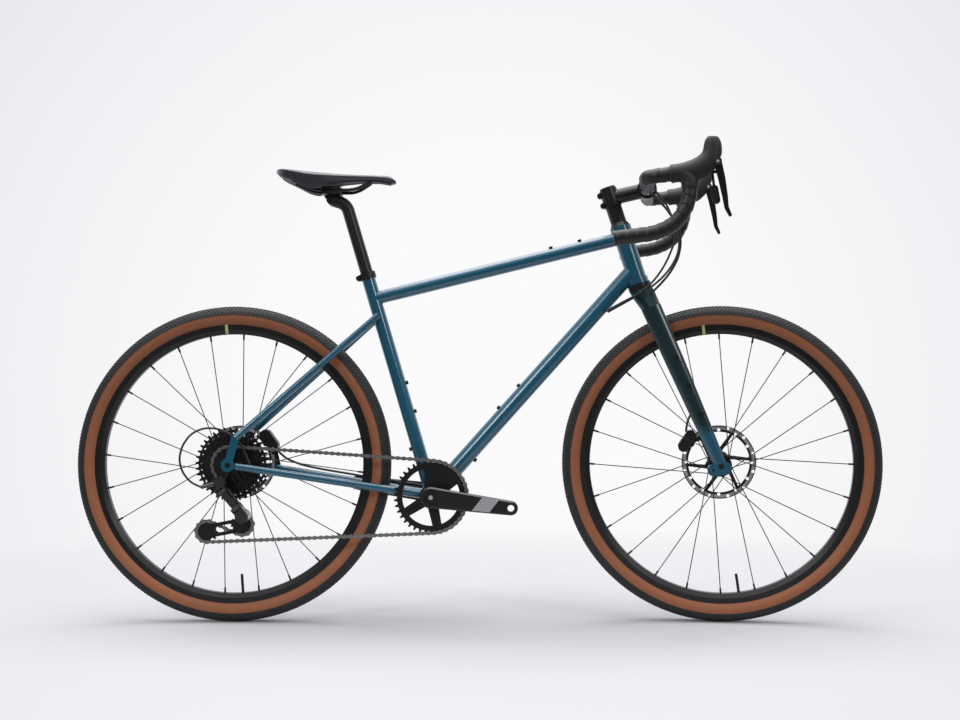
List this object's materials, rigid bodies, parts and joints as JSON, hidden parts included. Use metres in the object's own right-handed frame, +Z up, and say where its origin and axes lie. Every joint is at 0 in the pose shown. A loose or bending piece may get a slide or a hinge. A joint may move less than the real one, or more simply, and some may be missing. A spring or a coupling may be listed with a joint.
{
  "type": "gravel bike",
  "caption": "Gravel bicycle with drop handlebars, disc brakes, one chainring, rear derailleur and wide knobbly tyres; steers, rolls, pedals, shifts and brakes.",
  "frame": {"origin": "on the ground, in the frame's mid plane, under the middle of the wheelbase", "axes": "+X forward, +Y to the rider's left, +Z up"},
  "size_m": [1.7201, 0.4989, 1.0161],
  "materials": {
    "frame_paint": "gloss teal blue paint on steel tube",
    "fork_paint": "gloss dark green teal, lighter towards the foot",
    "black_alloy": "black anodised aluminium, satin",
    "black_steel": "black coated steel",
    "bright_steel": "bare steel",
    "tyre": "black knobbly tread with tan side walls",
    "tape": "wrapped foam bar tape, matt",
    "hood_rubber": "moulded rubber, matt",
    "black_plastic": "moulded black plastic",
    "saddle_cover": "stretched synthetic cover, slight gloss"
  },
  "bodies": {
    "frame": {"head_tube": "frame_paint", "top_tube": "frame_paint", "down_tube": "frame_paint", "seat_tube": "frame_paint", "bottom_bracket_shell": "frame_paint", "chain_stays": "frame_paint", "seat_stays": "frame_paint", "dropouts": "frame_paint", "derailleur_hanger": "black_alloy", "boss_bolts": "black_steel", "seat_collar": "black_alloy", "headset_cups": "black_alloy", "bottom_bracket_cups": "black_alloy", "rear_axle": "black_alloy", "rear_caliper": "black_alloy", "chain": "bright_steel", "rear_control_lines": "black_plastic", "steering_lines": "black_plastic", "derailleur_knuckle": "black_alloy"},
    "fork": {"fork_crown": "fork_paint", "fork_legs": "fork_paint", "fork_bolts": "black_steel", "headset_spacers": "black_alloy", "stem": "black_alloy", "stem_faceplate": "black_alloy", "handlebar": "black_alloy", "bar_tape": "tape", "bar_end_plugs": "black_plastic", "brake_hoods": "hood_rubber", "front_axle": "black_alloy", "front_caliper": "black_alloy", "front_brake_hose": "black_plastic"},
    "front_wheel": {"front_tyre": "tyre", "front_rim": "black_alloy", "front_hub": "black_alloy", "front_spokes": "black_steel", "front_rotor": "bright_steel"},
    "rear_wheel": {"rear_tyre": "tyre", "rear_rim": "black_alloy", "rear_hub": "black_alloy", "rear_spokes": "black_steel", "rear_rotor": "bright_steel"},
    "crankset": {"chainring": "black_alloy", "crank_arm_right": "black_alloy", "crank_arm_left": "black_alloy"},
    "cassette": {"cassette": "bright_steel"},
    "derailleur_outer_link": {"derailleur_outer_link": "black_alloy"},
    "derailleur_inner_link": {"derailleur_inner_link": "black_alloy"},
    "derailleur_cage_knuckle": {"derailleur_cage_knuckle": "black_alloy"},
    "derailleur_cage": {"derailleur_cage": "black_alloy"},
    "guide_pulley": {"guide_pulley": "black_plastic"},
    "tension_pulley": {"tension_pulley": "black_plastic"},
    "brake_lever_left": {"brake_lever_left": "black_alloy"},
    "brake_lever_right": {"brake_lever_right": "black_alloy"},
    "shift_paddle": {"shift_paddle": "black_plastic"},
    "seatpost": {"seatpost": "black_alloy", "saddle_clamp": "black_alloy", "saddle_rails": "black_steel", "saddle_base": "black_plastic", "saddle_cover": "saddle_cover"}
  },
  "joints": [
    {"name": "steering", "type": "hinge", "parent": "frame", "child": "fork", "pos_m": [0.35025, 0, 0.72675], "axis": [-0.309, 0, 0.9511], "range_deg": [-57.5, 72.5], "deforming": ["steering_lines"]},
    {"name": "front_wheel_spin", "type": "hinge", "parent": "fork", "child": "front_wheel", "pos_m": [0.52214, -0.00574, 0.33888], "axis": [0.1241, 0.9914, 0.0403], "continuous": true},
    {"name": "rear_wheel_spin", "type": "hinge", "parent": "frame", "child": "rear_wheel", "pos_m": [-0.5225, 0, 0.339], "axis": [0, 1, 0], "continuous": true},
    {"name": "crank_spin", "type": "hinge", "parent": "frame", "child": "crankset", "pos_m": [-0.09589, 0, 0.271], "axis": [0, 1, 0], "continuous": true, "deforming": ["chain"]},
    {"name": "cassette_spin", "type": "hinge", "parent": "frame", "child": "cassette", "pos_m": [-0.5225, 0, 0.339], "axis": [0, 1, 0], "continuous": true, "deforming": ["chain"]},
    {"name": "derailleur_outer_swing", "type": "hinge", "parent": "frame", "child": "derailleur_outer_link", "pos_m": [-0.532, -0.087, 0.2845], "axis": [0.7547, 0, 0.6561], "range_deg": [-18, 29], "deforming": ["chain"]},
    {"name": "derailleur_inner_swing", "type": "hinge", "parent": "frame", "child": "derailleur_inner_link", "pos_m": [-0.532, -0.071, 0.2845], "axis": [0.7547, 0, 0.6561], "range_deg": [-18, 29]},
    {"name": "derailleur_knuckle_swing", "type": "hinge", "parent": "derailleur_outer_link", "child": "derailleur_cage_knuckle", "pos_m": [-0.50182, -0.087, 0.24978], "axis": [0.7547, 0, 0.6561], "range_deg": [-29, 18]},
    {"name": "derailleur_cage_swing", "type": "hinge", "parent": "derailleur_cage_knuckle", "child": "derailleur_cage", "pos_m": [-0.48982, -0.047, 0.23178], "axis": [0, 1, 0], "range_deg": [-58, 36], "deforming": ["chain"]},
    {"name": "guide_pulley_spin", "type": "hinge", "parent": "derailleur_cage", "child": "guide_pulley", "pos_m": [-0.49605, -0.047, 0.21173], "axis": [0, 1, 0], "continuous": true, "deforming": ["chain"]},
    {"name": "tension_pulley_spin", "type": "hinge", "parent": "derailleur_cage", "child": "tension_pulley", "pos_m": [-0.5719, -0.047, 0.19737], "axis": [0, 1, 0], "continuous": true, "deforming": ["chain"]},
    {"name": "brake_lever_left_pull", "type": "hinge", "parent": "fork", "child": "brake_lever_left", "pos_m": [0.53201, 0.18338, 0.96539], "axis": [0.1241, 0.9914, 0.0403], "range_deg": [0, 22], "stiffness_Nm_per_rad": 2},
    {"name": "brake_lever_right_pull", "type": "hinge", "parent": "fork", "child": "brake_lever_right", "pos_m": [0.47888, -0.24096, 0.94812], "axis": [0.1241, 0.9914, 0.0403], "range_deg": [0, 22], "stiffness_Nm_per_rad": 2},
    {"name": "shift_paddle_push", "type": "hinge", "parent": "fork", "child": "shift_paddle", "pos_m": [0.47018, -0.22955, 0.93005], "axis": [0.9923, -0.1241, -0.0025], "range_deg": [0, 20], "stiffness_Nm_per_rad": 0.5},
    {"name": "seatpost_slide", "type": "slide", "parent": "frame", "child": "seatpost", "axis": [-0.284, 0, 0.9588], "range_m": [-0.11, 0.07]}
  ],
  "couplings": [
    {"joint": "cassette_spin", "follows": "crank_spin", "ratio": 2},
    {"joint": "guide_pulley_spin", "follows": "crank_spin", "ratio": -3.4545},
    {"joint": "tension_pulley_spin", "follows": "crank_spin", "ratio": 3.4545},
    {"joint": "derailleur_inner_swing", "follows": "derailleur_outer_swing", "ratio": 1},
    {"joint": "derailleur_knuckle_swing", "follows": "derailleur_outer_swing", "ratio": -1},
    {"joint": "derailleur_cage_swing", "follows": "derailleur_outer_swing", "ratio": -2}
  ]
}
